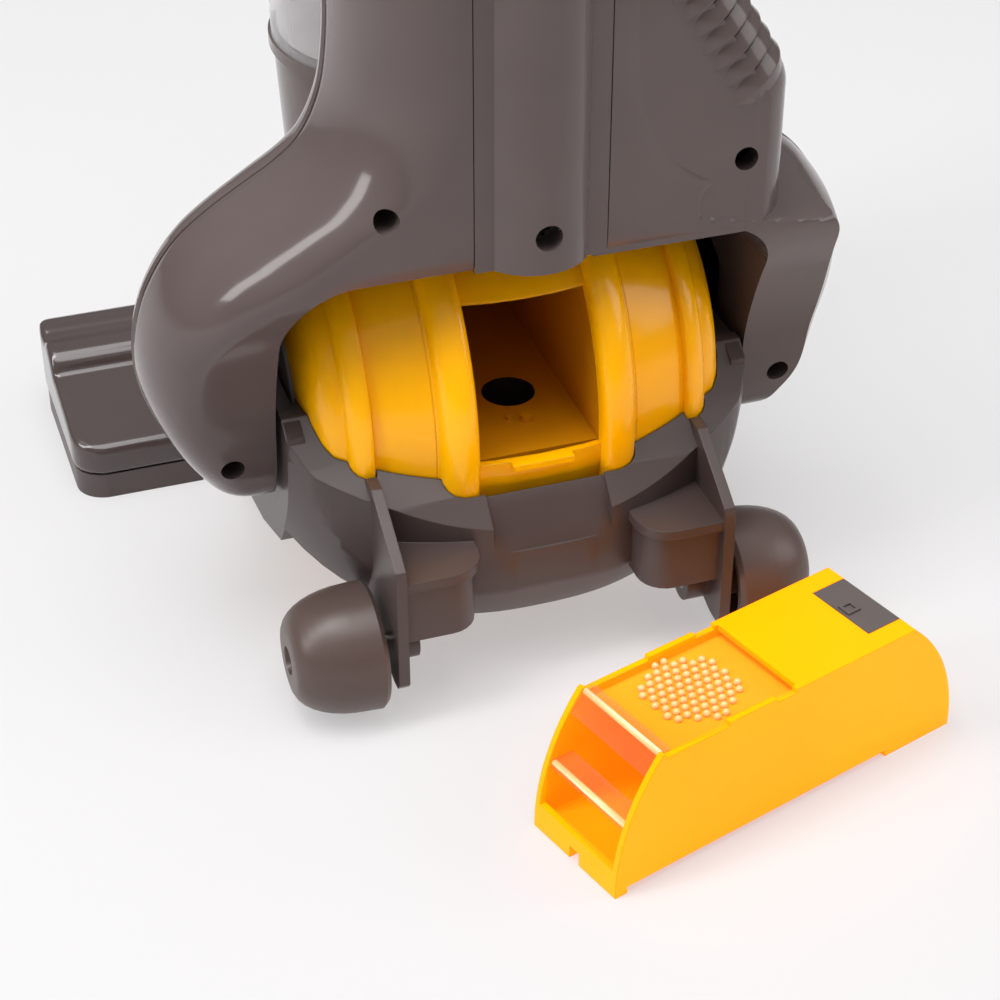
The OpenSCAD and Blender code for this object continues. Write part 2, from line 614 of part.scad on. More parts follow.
// Loop handle: two bends joined by two straight hollow bars, on a socket over the post.
module handle_grip() color(grey) at_axis() {
    bar_h = grip_h - 2*loop_r - 2*grip_r;
    translate([0, post_y + loop_r, post_top + loop_r + grip_r]) {
        for (a = [0, 1]) translate([0, 0, a*bar_h]) rotate([90, 0, 90]) rotate([0, 0, 180 - 180*a])
            rotate_extrude(angle = 180, $fn = 64) translate([loop_r, 0]) grip_section();
        for (s = [-1, 1]) translate([0, s*loop_r, 0]) linear_extrude(bar_h) grip_section();
    }
    translate([0, post_y, post_top - 24]) difference() {
        cylinder(r = post_r + 3, h = 52);
        translate([0, 0, -1]) cylinder(r = post_r, h = 25);
        translate([0, 0, 27]) cylinder(r = grip_r - 1, h = 30);
    }
}

module grip_section() difference() { circle(grip_r, $fn = 48); circle(grip_r - shell_wall, $fn = 48); }

module power_rocker() color("#c9312a") at_axis() translate([0, back_y, rocker_z]) {
    rod_x(rocker_r, -6, 6);
    rod_x(1.2, -9, 9);
}

module head_cover() color(dark) difference() {
    head_form(0);
    head_form(2.2);
    translate([-200, -200, -1]) cube([400, 400, 1 + sole_h]);
    translate([-neck_half - 0.6, neck_y - 22, 0]) cube([2*neck_half + 1.2, 14, neck_z - 6]);
}

// Side view of the head: low at the back, a step, and two rounded ridges at the front.
module head_side(g) {
    offset(delta = -g) union() {
        polygon([[head_rear, 0], [head_rear, 17], [head_rear - 2, 19], [head_rear - 14, 22], [head_front + 34, 26],
            [head_front + 30, 27], [head_front + 6, 20], [head_front, 12], [head_front, 0]]);
        for (k = [0, 1]) translate([head_front + 14 + 15*k, head_h - 9]) circle(9);
        polygon([[head_front + 5, 20], [head_front + 38, 20], [head_front + 29, head_h - 2], [head_front + 14, head_h - 2]]);
    }
}

// Plan view of the head, with the bay for the neck.
module head_plan(g) offset(r = -g) difference() {
    hull() for (s = [-1, 1], y = [head_front + head_arc_r, head_rear - 10]) translate([s*(head_half - (y < -80 ? head_arc_r : 10)), y]) circle(y < -80 ? head_arc_r : 10);
    translate([-stand_half - 6, neck_y - 14]) square([2*stand_half + 12, 80]);
}

module head_form(g) intersection() {
    slab_x(-head_half, head_half) head_side(g);
    translate([0, 0, -1]) linear_extrude(60) head_plan(g);
}

module head_sole() color("#4d4241") {
    difference() {
        intersection() {
            slab_x(-head_half, head_half) head_side(0);
            translate([0, 0, 0]) linear_extrude(sole_h - 0.4) head_plan(0.6);
        }
        translate([-90, head_front + 4, -1]) cube([180, 7, 6]);
        translate([-54, neck_y - 33, -1]) cube([108, 15.4, 20]);
    }
    difference() {
        hull() {
            translate([0, neck_y, neck_z]) rod_x(5.4, -neck_half, neck_half);
            slab_x(-neck_half, neck_half) polygon([[neck_y - 13, 3], [neck_y - 17, 3], [neck_y - 17, 8], [neck_y - 13, 8]]);
        }
        translate([0, neck_y, neck_z]) rod_x(2.5 + run_gap, -40, 40);
    }
}

module battery_cells() color("#7d8288") for (s = [-1, 1]) translate([0, neck_y - 25.3, 9.6]) {
    rod_x(7, s < 0 ? -51 : 1.5, s < 0 ? -1.5 : 51);
}

module battery_door() color("#4d4241") translate([-53.8, neck_y - 32.8, 0.4]) cube([107.6, 15, 2]);

// Side view of the drawer, drawn in by g: its clear end is flush with the drum's ribs, its inner end clears the drum's wall.
module drawer_side(g = 0) intersection() {
    translate([0, g]) square([drawer_len, drawer_h - 2*g]);
    translate([drawer_out_r, -slot_floor]) union() {
        intersection() { circle(drawer_out_r - g, $fn = 144); translate([-100, -80]) square([100.01, 160]); }
        intersection() { circle(drawer_in_r - g, $fn = 144); translate([-10, -80]) square([100, 160]); }
    }
}

// Moves children from the drawer's own frame to the floor: length, side, height.
module at_drawer() translate([drawer_x, drawer_y, 0]) rotate([0, 0, drawer_turn]) children();
module drawer_slab(v0, v1) translate([0, v1, 0]) rotate([90, 0, 0]) linear_extrude(v1 - v0) children();

drawer_top_u = drawer_out_r - sqrt(pow(drawer_out_r, 2) - pow(drawer_h + slot_floor, 2));
window_end = drawer_top_u + window_len;

cover_u = [90, 104];
cover_half = 11;
foot_h = 2.2;
inner_half = drawer_w/2 - drawer_wall;

// Skin of the drawer's top around the inlet cover, between depths g0 and g1, grown by e.
module cover_skin(g0, g1, e) intersection() {
    drawer_slab(-cover_half - e, cover_half + e) difference() { drawer_side(g0); drawer_side(g1); }
    translate([cover_u[0] - e, -40, drawer_h/2]) cube([cover_u[1] - cover_u[0] + 2*e, 80, 40]);
}

module drawer_tray() color(drawer_yellow) at_drawer() difference() {
    union() {
        difference() {
            drawer_slab(-drawer_w/2, drawer_w/2) drawer_side();
            intersection() {
                drawer_slab(-inner_half, inner_half) drawer_side(drawer_wall);
                translate([-1, -40, foot_h + drawer_wall]) cube([drawer_len + 2, 80, drawer_h]);
            }
        }
        cover_skin(drawer_wall - 0.1, drawer_wall + 1.8, 2);
    }
    translate([-5, -inner_half, 8.5]) cube([drawer_top_u + 5, 2*inner_half, 60]);
    translate([-5, -inner_half, drawer_h - 5]) cube([window_end + 5, 2*inner_half, 20]);
    for (u = [[drawer_top_u + 1, 36], [52, window_end - 1]]) translate([u[0], -40, drawer_h - 1.2]) cube([u[1] - u[0], 80, 5]);
    cover_skin(-1, drawer_wall, 0.2);
    translate([-1, -2, -1]) cube([4, 4, 5]);
    translate([4, -40, -1]) cube([91, 80, 1 + foot_h]);
}

// Clear bars across the drawer's open end.
module drawer_front() color(amber_clear) at_drawer() {
    intersection() {
        drawer_slab(-inner_half, inner_half) difference() { drawer_side(0.2); drawer_side(2); }
        translate([-1, -inner_half, drawer_h - 6]) cube([drawer_top_u + 5, 2*inner_half, 8]);
    }
    intersection() {
        drawer_slab(-inner_half, inner_half) drawer_side(1);
        translate([-1, -inner_half, 20]) cube([12, 2*inner_half, 2]);
    }
}

module filter_plate() color(orange) at_drawer() {
    c = drawer_top_u + 2 + (window_len - 2)/2;
    translate([drawer_top_u + 4, -inner_half, drawer_h - 6.6]) cube([window_len - 4, 2*inner_half, 1.6]);
    for (i = [-6:6], j = [-5:5]) let (u = (i + (abs(j)%2)/2)*stud_pitch, v = j*stud_pitch*0.866)
        if (u*u + v*v < 170) translate([c + u, v, drawer_h - 5.2]) cylinder(r = 0.8, h = 1.8, $fn = 8);
}

// Dark cover on the drawer's inner end, following its curve, with a small square clip.
module inlet_cover() color("#57504e") at_drawer() {
    cover_skin(0, drawer_wall, 0);
    translate([cover_u[0] + 1, -2.2, drawer_h - 0.3]) difference() {
        cube([4.4, 4.4, 0.9]);
        translate([0.9, 0.9, -1]) cube([2.6, 2.6, 4]);
    }
}

stand_cradle();
drum_shell();
drum_side_l();
drum_side_r();
drum_cap_l();
drum_cap_r();
slot_sleeve();
suction_motor();
fan();
fan_cowl();
pivot_pin_l();
pivot_pin_r();
neck_pin();
axle_l();
axle_r();
wheel_l();
wheel_r();
rear_shell();
front_shell();
spine_cover();
ribbed_hose();
shell_screws();
dust_bin();
bin_base();
cyclone_core();
bin_lid();
handle_post();
grip_cuff();
handle_grip();
power_rocker();
head_cover();
head_sole();
battery_cells();
battery_door();
drawer_tray();
drawer_front();
filter_plate();
inlet_cover();
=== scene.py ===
# Toy upright vacuum cleaner seen from behind, with its dust drawer taken out and laid on the floor.
import json
import math
import bmesh
import bpy
from mathutils import Matrix, Vector


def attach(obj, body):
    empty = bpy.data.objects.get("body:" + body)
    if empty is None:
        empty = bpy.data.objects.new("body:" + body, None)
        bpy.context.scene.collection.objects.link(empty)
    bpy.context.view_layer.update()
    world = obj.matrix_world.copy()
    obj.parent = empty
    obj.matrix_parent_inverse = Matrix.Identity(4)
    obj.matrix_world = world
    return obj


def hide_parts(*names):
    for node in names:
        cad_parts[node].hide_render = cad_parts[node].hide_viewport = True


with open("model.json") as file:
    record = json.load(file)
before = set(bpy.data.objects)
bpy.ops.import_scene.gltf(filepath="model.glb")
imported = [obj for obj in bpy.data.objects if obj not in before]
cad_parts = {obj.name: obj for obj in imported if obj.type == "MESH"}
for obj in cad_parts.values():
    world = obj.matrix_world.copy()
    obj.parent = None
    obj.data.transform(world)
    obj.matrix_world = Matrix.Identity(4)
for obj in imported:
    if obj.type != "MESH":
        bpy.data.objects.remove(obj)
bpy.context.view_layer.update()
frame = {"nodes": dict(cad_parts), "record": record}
nodes = frame["nodes"]


# Stand. A dark saddle moulded in one piece from semi-matt plastic. Its side plates carry the
# drum's pivots, and two fins with gussets carry the wheel axles.
MM = 0.001
STAND_TONES = ("#4a3e3c", "#403533")
PLASTIC_IOR = 1.46
CLOUD_SIZE = 71.4*MM
CLOUD_BAND = (0.35, 0.65)
POLISH_SPREAD = 0.1
SKIN_SIZE = 0.714*MM
SKIN_DEPTH = 0.1*MM
COAT_ROUGH = 0.06
WELD_GAP = 0.01*MM
SLIVER = 0.001*MM
VOXEL = 0.9*MM


def srgb(code):
    """Linear colour of a six-digit hex code."""
    parts = [int(code[k:k + 2], 16)/255 for k in (1, 3, 5)]
    return [p/12.92 if p <= 0.04045 else ((p + 0.055)/1.055)**2.4 for p in parts] + [1.0]


def add_node(tree, kind, inputs=None, **settings):
    """One node, with its settings made and its inputs set or linked."""
    made = tree.nodes.new(kind)
    for key, value in settings.items():
        setattr(made, key, value)
    for key, value in (inputs or {}).items():
        if isinstance(value, bpy.types.NodeSocket):
            tree.links.new(value, made.inputs[key])
        else:
            made.inputs[key].default_value = value
    return made


def moulded(name, tones, rough, coat=0.0, shine=0.5, metal=0.0, grain=0.05, edge=0.0, glow=0.0):
    """A moulded or drawn finish: two close tones in soft clouds, a fine skin, and broken edges.
    The skin is drawn coarser than a real tool leaves it, so that it shows."""
    # glow sets an even emission of the surface's own colours: painted light that flattens its shading.
    material = bpy.data.materials.new(name)
    material.use_nodes = True
    tree = material.node_tree
    tree.nodes.clear()
    place = add_node(tree, "ShaderNodeTexCoord").outputs["Object"]
    clouds = add_node(tree, "ShaderNodeTexNoise", {"Vector": place, "Scale": 1/CLOUD_SIZE, "Detail": 3.0})
    ramp = add_node(tree, "ShaderNodeValToRGB", {"Fac": clouds.outputs["Fac"]})
    for stop, position, tone in zip(ramp.color_ramp.elements, CLOUD_BAND, reversed(tones)):
        stop.position = position
        stop.color = srgb(tone)
    polish = add_node(tree, "ShaderNodeMapRange", {"Value": clouds.outputs["Fac"],
                      "To Min": rough*(1 - POLISH_SPREAD), "To Max": rough*(1 + POLISH_SPREAD)})
    skin = add_node(tree, "ShaderNodeTexNoise", {"Vector": place, "Scale": 1/SKIN_SIZE, "Detail": 2.0})
    bump = add_node(tree, "ShaderNodeBump", {"Strength": grain, "Distance": SKIN_DEPTH,
                    "Height": skin.outputs["Fac"]})
    if edge > 0:
        rounded = add_node(tree, "ShaderNodeBevel", {"Radius": edge}, samples=4)
        tree.links.new(rounded.outputs["Normal"], bump.inputs["Normal"])
    body = add_node(tree, "ShaderNodeBsdfPrincipled", {
        "Base Color": ramp.outputs["Color"], "Roughness": polish.outputs["Result"],
        "Normal": bump.outputs["Normal"], "Coat Weight": coat, "Coat Roughness": COAT_ROUGH,
        "Specular IOR Level": shine, "Metallic": metal,
        "Emission Color": ramp.outputs["Color"], "Emission Strength": glow})
    if metal < 0.5:
        body.inputs["IOR"].default_value = PLASTIC_IOR
    add_node(tree, "ShaderNodeOutputMaterial", {"Surface": body.outputs["BSDF"]})
    return material


def dress(node, material, crease=30, soften=0):
    """A welded copy of a CAD node with smooth rounds and crisp edges, in the node's place.
    With soften, its edges are rounded by that many smoothing steps."""
    mesh = nodes[node].data.copy()
    baked = mesh.attributes.get("custom_normal")
    if baked:
        mesh.attributes.remove(baked)
    work = bmesh.new()
    work.from_mesh(mesh)
    bmesh.ops.remove_doubles(work, verts=work.verts, dist=WELD_GAP)
    bmesh.ops.dissolve_degenerate(work, edges=work.edges, dist=SLIVER)
    work.to_mesh(mesh)
    work.free()
    mesh.shade_smooth()
    mesh.set_sharp_from_angle(angle=math.radians(crease))
    mesh.materials.clear()
    mesh.materials.append(material)
    piece = bpy.data.objects.new(node + "_skin", mesh)
    bpy.context.scene.collection.objects.link(piece)
    if soften:
        fine = piece.modifiers.new("fine", "REMESH")
        fine.mode = "VOXEL"
        fine.voxel_size = VOXEL
        fine.use_smooth_shade = True
        rounder = piece.modifiers.new("rounder", "SMOOTH")
        rounder.factor = 0.5
        rounder.iterations = soften
    else:
        evened = piece.modifiers.new("evened", "WEIGHTED_NORMAL")
        evened.keep_sharp = True
    seat(piece, node)
    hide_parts(node)
    return piece


def seat(piece, node):
    """The piece moves with the body that carries this node."""
    for body, members in frame["record"]["behaviour"]["bodies"].items():
        if node in members:
            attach(piece, body)


# ABS from a lightly textured tool: broad soft highlights, and edges that catch a thin line of light.
stand_plastic = moulded("stand_plastic", STAND_TONES, 0.34, grain=0.08, edge=0.5*MM)
dress("stand_cradle", stand_plastic)


# Drum. A glossy yellow barrel in three mouldings: the middle, with the drawer slot between two
# ribs, and an outer piece with one rib on either side. Plain silvery caps close its ends.
DRUM_TONES = ("#ffb900", "#fcb000")
CAP_TONES = ("#b4b0ae", "#a9a5a3")
LIP_Y = 64.6
LIP_HALF = 9.1
LIP_Z = (62.0, 66.0)

# Polished ABS, with clear highlights along the ribs, and a silvery lacquer on the caps.
drum_plastic = moulded("drum_plastic", DRUM_TONES, 0.2, coat=0.12, shine=0.3, grain=0.01, edge=0.8*MM)
cap_plastic = moulded("cap_plastic", CAP_TONES, 0.28, metal=0.4, grain=0.03)
for part in ("drum_shell", "drum_side_l", "drum_side_r"):
    barrel = dress(part, drum_plastic, crease=38)
    for corner in barrel.data.vertices:
        x, y, z = corner.co/MM
        if abs(x) < LIP_HALF and y > LIP_Y and LIP_Z[0] < z < LIP_Z[1]:
            corner.co.y = LIP_Y*MM
for side in ("l", "r"):
    dress("drum_cap_" + side, cap_plastic)


# Slot sleeve. The box behind the slot that the drawer slides into, in amber plastic,
# with the suction inlet in its floor and two small pegs that find the drawer.
SLEEVE_TONES = ("#d18a08", "#bd7a06")
INLET_SHADE_TONES = ("#1c1512", "#15100d")
INLET_AT = (-2.0, 27.0)
INLET_R = 7.8
SLEEVE_FLOOR_Z = 65.5
INLET_SLACK = 0.3

# Smooth amber polystyrene with an even sheen. The inlet's bore is painted near black: painted shade for a
# deep duct.
sleeve_plastic = moulded("sleeve_plastic", SLEEVE_TONES, 0.3, grain=0.04)
inlet_shade = moulded("inlet_shade", INLET_SHADE_TONES, 0.6)
sleeve = dress("slot_sleeve", sleeve_plastic)
sleeve.data.materials.append(inlet_shade)
# Faces of the bore below the sleeve floor take the painted shade.
for face in sleeve.data.polygons:
    x, y, z = face.center/MM
    within = math.hypot(x - INLET_AT[0], y - INLET_AT[1]) < INLET_R + INLET_SLACK
    if within and z < SLEEVE_FLOOR_Z - INLET_SLACK:
        face.material_index = 1


# Suction unit. A small can motor, a moulded plastic fan and its cowl, all hidden in the drum
# on one side of the sleeve.
MOTOR_TONES = ("#8d8f91", "#7c7e80")
FAN_TONES = ("#3f3b3a", "#383433")

# A zinc-plated steel can with a grey sheen, beside dull dark nylon.
motor_metal = moulded("motor_metal", MOTOR_TONES, 0.35, metal=0.9)
fan_plastic = moulded("fan_plastic", FAN_TONES, 0.45)
dress("suction_motor", motor_metal)
dress("fan", fan_plastic)
dress("fan_cowl", fan_plastic)


# Pins and axles. Plain steel rods: two pivots for the body, two stub axles and the neck pin.
# They are pressed into the stand, and what they carry turns on them.
STEEL_TONES = ("#b3b1ae", "#a5a29f")

# Drawn steel, bright and smooth.
pin_steel = moulded("pin_steel", STEEL_TONES, 0.3, metal=1.0, grain=0.02)
for pin in ("pivot_pin_l", "pivot_pin_r", "neck_pin", "axle_l", "axle_r"):
    dress(pin, pin_steel)


# Wheels. Two wide domed rollers in dark plastic, hollow behind, with a dimple in the crown.
# Each runs on its stub axle outside its fin.
WHEEL_TONES = ("#54453f", "#493a37")

# ABS with a satin skin: one soft highlight on each dome.
wheel_plastic = moulded("wheel_plastic", WHEEL_TONES, 0.36, grain=0.06)
for side in ("l", "r"):
    dress("wheel_" + side, wheel_plastic, crease=35)


# Body shells. Two grey mouldings, screwed together from behind, that arch over the drum. The rear
# one rolls into a broad shoulder on the left, and has a chamfered arm with a ledge beside the hose
# on the right. The front one has round hubs over the pivots and a saddle behind the bin.
SHELL_TONES = ("#5a4f4d", "#534846")
AXIS_Z = 67.0
SEAM_Y = 20.0
TORSO_TOP = 200.0
SHELL_LOW = -22.0
SHELL_HALF = [(-22, 78), (-18, 85), (-12, 90), (-3, 95.5), (8, 100.4), (20, 103.6), (32, 103.8),
              (44, 101), (54, 96), (62, 89.6), (68, 82), (74, 72.5), (80, 62.5), (86, 55.5),
              (95, 50.4), (105, 47.6), (123, 46), (200, 46)]
SHELL_BACK = [(-22, 24), (-17, 33), (-11, 36), (-4, 38), (16, 41), (36, 48.3), (50, 55.8), (58, 59),
              (66, 60), (200, 60)]
SHELL_ROLL = [(-22, 10), (0, 12), (20, 13), (36, 15), (48, 21), (58, 27), (70, 29), (90, 27), (200, 24)]
FRONT_DEPTH = [(-22, 34), (40, 34), (58, 30), (75, 26), (200, 26)]
CROWN_H = 18.0
CROWN_R = 24.0
SEAM_DIP = 0.7
SEAM_RISE = 0.04
ROLL_START = 4
ROLL_POWER = 0.92
FRONT_START = 2
FRONT_PROUD = 0.4
ARM_CHAMFER = [(-22, 5), (-4, 6.5), (12, 11), (30, 12.5), (44, 11), (56, 7.5), (200, 7.5)]
ARM_TOP = 56.0
ARM_TOP_INNER = 64.0
LEDGE_FALL = 1.9
HOSE_EDGE_X = 44.0
LEDGE_DEPTH = 5.0
LEDGE_INNER = [(-22, 68), (53, 68), (59, 52), (66, 48), (200, 48)]
LEDGE_TOP = (64.0, 74.0)
LEDGE_LEAST = 6.0
CORNER_LEAST = 1.0
RISE_WIDTH = 4.0
ARCH = {"half": 70.0, "corner": 20.0, "top": 60.0, "low": -90.0}
ARCH_REACH = 150.0
DRUM_ROOM_R = 66.5
DRUM_ROOM_HALF = 64.0
ROCKER_ROOM = (7.6, (-9.8, 60.0, 178.5), (9.8, 60.0, 178.5))
WELL_R = 3.4
WELL_MOUTH_Y = 120.0
WELL_SEATS = [(82.5, 21.8, -3.9), (-82.5, 21.8, -3.9), (42.0, 30.0, 78.0)]
SPINE_SEAT = ((-18.8, 55.0, 54.0), (18.8, 90.0, 230.0))
BIN_Y = -58.0
BIN_RING_R = 42.6
BIN_ROOM_TOP = 400.0
HUB_LINE = [(33, 64), (32, 70), (28, 73.5), (23, 78), (18, 81), (12, 83.5), (0.01, 84.5)]
PIN_ROOM_R = 6.3
PIN_ROOM_START = 60.0
PIN_ROOM_END = 82.4
SADDLE = ((-24.0, -38.0, 62.4), (24.0, 20.0, 170.0))
BEHIND_SEAM = ((-200.0, SEAM_Y, -200.0), (200.0, SEAM_Y + 100, 200.0))
RINGS = 150
EDGE_RINGS = 33
EDGE_STEP = 0.31
SIDE_STEPS = 22
CHAMFER_STEPS = 12
LEDGE_STEPS = 6
RISE_STEPS = SIDE_STEPS + 1 - CHAMFER_STEPS - LEDGE_STEPS
ROUND_STEPS = 96
WELL_STEPS = 32
CREASE = 34


def smooth_value(table, at):
    """Value of a smooth curve through a table of (place, value)."""
    at = min(max(at, table[0][0]), table[-1][0])
    k = next(i for i in range(len(table) - 1) if at <= table[i + 1][0])
    slopes = []
    for j in (k, k + 1):
        before, after = table[max(j - 1, 0)], table[min(j + 1, len(table) - 1)]
        slopes.append((after[1] - before[1])/(after[0] - before[0]))
    (x0, y0), (x1, y1) = table[k], table[k + 1]
    t, span = (at - x0)/(x1 - x0), x1 - x0
    return (y0*(1 + 2*t)*(1 - t)**2 + span*slopes[0]*t*(1 - t)**2
            + y1*t*t*(3 - 2*t) - span*slopes[1]*t*t*(1 - t))


def crown(z):
    """How far the sections draw in over the rounded top of the torso."""
    return math.sqrt(1 - (max(0, z - TORSO_TOP + CROWN_H)/CROWN_R)**2)


def rear_ring(z):
    """Section of the rear shell. Its left side rolls into the flat rear face. Its right side is a
    chamfer, and above the arm it steps back to a ledge beside the hose."""
    half = smooth_value(SHELL_HALF, z)*crown(z)
    depth = smooth_value(SHELL_BACK, z) - SEAM_Y
    roll = smooth_value(SHELL_ROLL, z)
    chamfer = smooth_value(ARM_CHAMFER, z)
    low = SEAM_RISE*depth
    left, right, beside_hose = ([(half - SEAM_DIP, 0.0), (half, low)] for _ in range(3))
    for k in range(SIDE_STEPS + 1):
        turn = math.radians(ROLL_START + (90 - ROLL_START)*k/SIDE_STEPS)
        rise = depth*math.sin(turn)**ROLL_POWER
        for side, reach in ((left, roll), (beside_hose, max(roll, half - HOSE_EDGE_X))):
            side.append((half - reach*(1 - math.cos(turn)**ROLL_POWER), rise))
    ledges = []
    for k in range(LEDGE_STEPS + 1):
        top = ARM_TOP + (ARM_TOP_INNER - ARM_TOP)*k/LEDGE_STEPS
        ledges.append(min(depth, max(LEDGE_DEPTH, depth - LEDGE_FALL*(z - top))))
    inner = min(smooth_value(LEDGE_INNER, z), half - LEDGE_LEAST)
    corner = max(half - chamfer, inner + CORNER_LEAST)
    for k in range(1, CHAMFER_STEPS + 1):
        part = k/CHAMFER_STEPS
        right.append((half - (half - corner)*part**1.3, low + (ledges[0] - low)*part**0.85))
    for k in range(1, LEDGE_STEPS + 1):
        right.append((corner + (inner - corner)*k/LEDGE_STEPS, ledges[k]))
    for k in range(1, RISE_STEPS + 1):
        part = k/RISE_STEPS
        right.append((inner - RISE_WIDTH*part, ledges[-1] + (depth - ledges[-1])*part))
    fade = min(max((z - LEDGE_TOP[0])/(LEDGE_TOP[1] - LEDGE_TOP[0]), 0), 1)
    right = [(a + (c - a)*fade, b + (d - b)*fade) for (a, b), (c, d) in zip(right, beside_hose)]
    return [(x, SEAM_Y + y, z) for x, y in left] + [(-x, SEAM_Y + y, z) for x, y in reversed(right)]


def front_ring(z):
    """Section of the front shell: half an ellipse with a dip at the seam."""
    half = (smooth_value(SHELL_HALF, z) + FRONT_PROUD)*crown(z)
    depth = smooth_value(FRONT_DEPTH, z)*crown(z)
    steps = 2*SIDE_STEPS
    ring = [(-half + SEAM_DIP, SEAM_Y, z)]
    for k in range(steps + 1):
        turn = math.radians(FRONT_START + (180 - 2*FRONT_START)*k/steps)
        ring.append((-half*math.cos(turn), SEAM_Y - depth*math.sin(turn), z))
    return ring + [(half - SEAM_DIP, SEAM_Y, z)]


def to_object(name, points, faces):
    """A mesh object from points in millimetres above the drum axis."""
    mesh = bpy.data.meshes.new(name)
    mesh.from_pydata([(x*MM, y*MM, (z + AXIS_Z)*MM) for x, y, z in points], [], faces)
    work = bmesh.new()
    work.from_mesh(mesh)
    bmesh.ops.recalc_face_normals(work, faces=work.faces)
    work.to_mesh(mesh)
    work.free()
    piece = bpy.data.objects.new(name, mesh)
    bpy.context.scene.collection.objects.link(piece)
    return piece


def loft(name, rings):
    """A closed solid through a stack of equal rings."""
    count = len(rings[0])
    faces = [[k for k in range(count)], [(len(rings) - 1)*count + k for k in range(count)]]
    for j in range(len(rings) - 1):
        for k in range(count):
            after = (k + 1) % count
            faces.append([j*count + k, j*count + after, (j + 1)*count + after, (j + 1)*count + k])
    return to_object(name, [p for ring in rings for p in ring], faces)


def rod(name, radius, start, end, steps=48):
    """A straight round rod from start to end."""
    along = (Vector(end) - Vector(start)).normalized()
    side = along.orthogonal().normalized()
    other = along.cross(side)
    rings = []
    for centre in (Vector(start), Vector(end)):
        turns = [2*math.pi*k/steps for k in range(steps)]
        rings.append([tuple(centre + radius*(math.cos(a)*side + math.sin(a)*other)) for a in turns])
    return loft(name, rings)


def prism(name, outline, start, end):
    """An outline of (across, up) drawn through from start to end along Y."""
    return loft(name, [[(x, y, z) for x, z in outline] for y in (start, end)])


def block(name, corners):
    """A plain box between two corners."""
    (x0, y0, z0), (x1, y1, z1) = corners
    return prism(name, [(x0, z0), (x1, z0), (x1, z1), (x0, z1)], y0, y1)


def carve(piece, cutters):
    """Cuts each cutter out of the piece, and leaves a plain mesh."""
    for cutter in cutters:
        knife = piece.modifiers.new("cut", "BOOLEAN")
        knife.operation = "DIFFERENCE"
        knife.solver = "EXACT"
        knife.object = cutter
    graph = bpy.context.evaluated_depsgraph_get()
    made = bpy.data.meshes.new_from_object(piece.evaluated_get(graph))
    piece.modifiers.clear()
    piece.data = made
    for cutter in cutters:
        bpy.data.objects.remove(cutter)


def join(piece, others):
    """Takes the meshes of the others into the piece."""
    work = bmesh.new()
    for part in [piece] + others:
        work.from_mesh(part.data)
    made = bpy.data.meshes.new(piece.name)
    work.to_mesh(made)
    work.free()
    piece.data = made
    for part in others:
        bpy.data.objects.remove(part)


def finish_skin(piece, node, material, crease):
    """Shades the piece smooth up to its creases and puts it in the node's place."""
    piece.data.shade_smooth()
    piece.data.set_sharp_from_angle(angle=math.radians(crease))
    piece.data.materials.clear()
    piece.data.materials.append(material)
    evened = piece.modifiers.new("evened", "WEIGHTED_NORMAL")
    evened.keep_sharp = True
    seat(piece, node)
    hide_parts(node)


def arch_room():
    """The opening over the drum, with round upper corners, right through the body."""
    half, corner, top = ARCH["half"], ARCH["corner"], ARCH["top"]
    turns = [math.radians(6*k) for k in range(16)]
    right = [(half - corner + corner*math.cos(a), top - corner + corner*math.sin(a)) for a in turns]
    left = [(-x, z) for x, z in reversed(right)]
    outline = [(half, ARCH["low"])] + right + left + [(-half, ARCH["low"])]
    return prism("arch_room", outline, -ARCH_REACH, ARCH_REACH)


def drum_room():
    """The round room that keeps the shells clear of the drum."""
    return rod("drum_room", DRUM_ROOM_R, (-DRUM_ROOM_HALF, 0, 0), (DRUM_ROOM_HALF, 0, 0), ROUND_STEPS)


def bin_room():
    """The round room that the bin stands in."""
    return rod("bin_room", BIN_RING_R, (0, BIN_Y, 0), (0, BIN_Y, BIN_ROOM_TOP), ROUND_STEPS)


def pin_room(side):
    """The blind bore that takes a pivot pin."""
    return rod("pin_room", PIN_ROOM_R, (side*PIN_ROOM_START, 0, 0), (side*PIN_ROOM_END, 0, 0))


def well(at):
    """A screw well from its seat out through the back."""
    return rod("well", WELL_R, at, (at[0], WELL_MOUTH_Y, at[2]), WELL_STEPS)


# ABS from a polished tool: long smooth highlights over a warm dark grey.
shell_plastic = moulded("shell_plastic", SHELL_TONES, 0.18, coat=0.3, shine=0.25, grain=0.015)
heights = [SHELL_LOW + (TORSO_TOP - SHELL_LOW)*k/RINGS for k in range(RINGS + 1)]
heights = sorted(heights + [ARM_TOP - 1 + EDGE_STEP*k for k in range(EDGE_RINGS)])
rear = loft("rear_shell_skin", [rear_ring(z) for z in heights])
rear_rooms = [arch_room(), drum_room(), block("spine_room", SPINE_SEAT), rod("rocker_room", *ROCKER_ROOM)]
carve(rear, rear_rooms + [well(at) for at in WELL_SEATS])
finish_skin(rear, "rear_shell", shell_plastic, CREASE)

front = loft("front_shell_skin", [front_ring(z) for z in heights])
carve(front, [arch_room(), drum_room(), bin_room(), pin_room(1), pin_room(-1)])
saddle = block("saddle", SADDLE)
carve(saddle, [bin_room()])
hubs = []
for side in (-1, 1):
    turns = [math.radians(5*k) for k in range(72)]
    rings = [[(side*x, r*math.cos(a), r*math.sin(a)) for a in turns] for r, x in HUB_LINE]
    hub = loft("hub", rings)
    carve(hub, [block("behind_seam", BEHIND_SEAM), arch_room(), pin_room(side)])
    hubs.append(hub)
join(front, [saddle] + hubs)
finish_skin(front, "front_shell", shell_plastic, CREASE)


# Spine cover. A strip with a raised tube up the middle of the back, snapped into the rear shell.
# It hides the lower end of the handle tube.
dress("spine_cover", shell_plastic)


